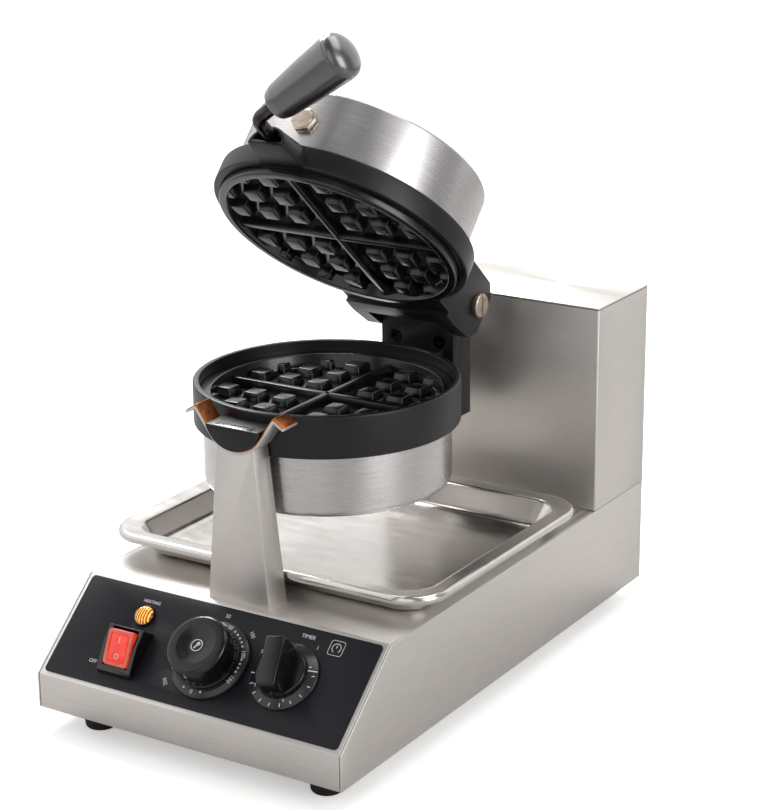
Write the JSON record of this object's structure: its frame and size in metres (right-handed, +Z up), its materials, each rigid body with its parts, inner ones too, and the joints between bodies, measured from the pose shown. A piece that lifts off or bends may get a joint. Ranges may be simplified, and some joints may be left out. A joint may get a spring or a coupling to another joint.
{
  "type": "rotary waffle maker",
  "caption": "Tabletop rotary waffle maker with a sloping control panel, drip tray, turning lower pan on a rear tower, hinged upper pan and cranked handle.",
  "frame": {"origin": "middle of the whole machine's footprint at the height of the table, under the feet", "axes": "+Z up, -Y towards the user and the control panel, +X to the user's right"},
  "size_m": [0.27, 0.4459, 0.4805],
  "materials": {
    "brushed_sheet": "brushed stainless sheet",
    "polished_tray": "polished stainless sheet",
    "can_steel": "stainless with a circular brushed finish",
    "black_cast": "cast aluminium with black non-stick coat",
    "fascia_grey": "matte printed overlay",
    "black_plastic": "moulded phenolic, glossy",
    "dial_grey": "moulded dial with white marks",
    "rocker_red": "translucent red lens",
    "amber_lens": "translucent amber lens",
    "rubber_black": "moulded rubber",
    "copper_liner": "copper-coloured bearing strip",
    "bronze_bush": "sintered bronze",
    "zinc_hardware": "nickel-plated steel",
    "shaft_steel": "turned steel",
    "control_metal": "pressed and plated metal",
    "heater_sheath": "oxidised heater sheath",
    "mineral_wool": "mineral wool disc",
    "terminal_plastic": "moulded terminal strip",
    "black_rod": "black oxide steel rod"
  },
  "bodies": {
    "machine_frame": {"base_wrapper": "brushed_sheet", "left_side_panel": "brushed_sheet", "right_side_panel": "brushed_sheet", "bottom_cover": "brushed_sheet", "bottom_screws": "zinc_hardware", "rubber_feet": "rubber_black", "foot_screws": "zinc_hardware", "control_fascia": "fascia_grey", "tower_shell": "brushed_sheet", "tower_rear_cover": "brushed_sheet", "cover_screws": "zinc_hardware", "cable_gland": "black_plastic", "gland_nut": "black_plastic", "bearing_housing": "control_metal", "bearing_bush": "bronze_bush", "bearing_studs": "zinc_hardware", "front_post": "brushed_sheet", "saddle": "brushed_sheet", "saddle_liner": "copper_liner", "saddle_rivets": "zinc_hardware", "switch_housing": "black_plastic", "lamp_bezel": "control_metal", "lamp_lens": "amber_lens", "thermostat_body": "control_metal", "timer_body": "control_metal", "terminal_block": "terminal_plastic"},
    "power_rocker": {"rocker": "rocker_red"},
    "temperature_control": {"temperature_dial": "dial_grey", "temperature_knob": "black_plastic", "thermostat_shaft": "shaft_steel"},
    "timer_control": {"timer_dial": "dial_grey", "timer_knob": "black_plastic", "timer_shaft": "shaft_steel"},
    "tray": {"drip_tray": "polished_tray"},
    "lower_pan": {"lower_ring": "black_cast", "lower_can": "can_steel", "lower_plate": "black_cast", "lower_heater": "heater_sheath", "lower_insulation": "mineral_wool", "lower_can_screws": "zinc_hardware", "hinge_block": "black_cast", "arm_bolts": "zinc_hardware", "block_screws": "zinc_hardware", "flip_shaft": "shaft_steel", "shaft_washer": "zinc_hardware", "shaft_nut": "zinc_hardware", "hinge_bolts": "zinc_hardware"},
    "upper_pan": {"upper_ring": "black_cast", "upper_can": "can_steel", "upper_plate": "black_cast", "upper_heater": "heater_sheath", "upper_insulation": "mineral_wool", "upper_can_bolt": "zinc_hardware", "lid_bracket": "black_cast", "bracket_screws": "zinc_hardware", "handle_rod": "black_rod", "handle_nut": "zinc_hardware", "handle_grip": "black_plastic"}
  },
  "joints": [
    {"name": "pan_flip", "type": "hinge", "parent": "machine_frame", "child": "lower_pan", "pos_m": [0, -0.0435, 0.227], "axis": [0, 1, 0], "range_deg": [-90, 90]},
    {"name": "lid_hinge", "type": "hinge", "parent": "lower_pan", "child": "upper_pan", "pos_m": [0, 0.092, 0.252], "axis": [-1, 0, 0], "range_deg": [-42, 12]},
    {"name": "tray_pull", "type": "slide", "parent": "machine_frame", "child": "tray", "axis": [1, 0, 0], "range_m": [-0.26, 0.26]},
    {"name": "rocker_tilt", "type": "hinge", "parent": "machine_frame", "child": "power_rocker", "pos_m": [-0.0635, -0.20514, 0.06606], "axis": [1, 0, 0], "range_deg": [-14, 0]},
    {"name": "temperature_turn", "type": "hinge", "parent": "machine_frame", "child": "temperature_control", "pos_m": [0.003, -0.1955, 0.07021], "axis": [0, -0.6568, 0.7541], "range_deg": [-150, 150]},
    {"name": "timer_turn", "type": "hinge", "parent": "machine_frame", "child": "timer_control", "pos_m": [0.0615, -0.19361, 0.07186], "axis": [0, -0.6568, 0.7541], "range_deg": [-300, 0]}
  ]
}
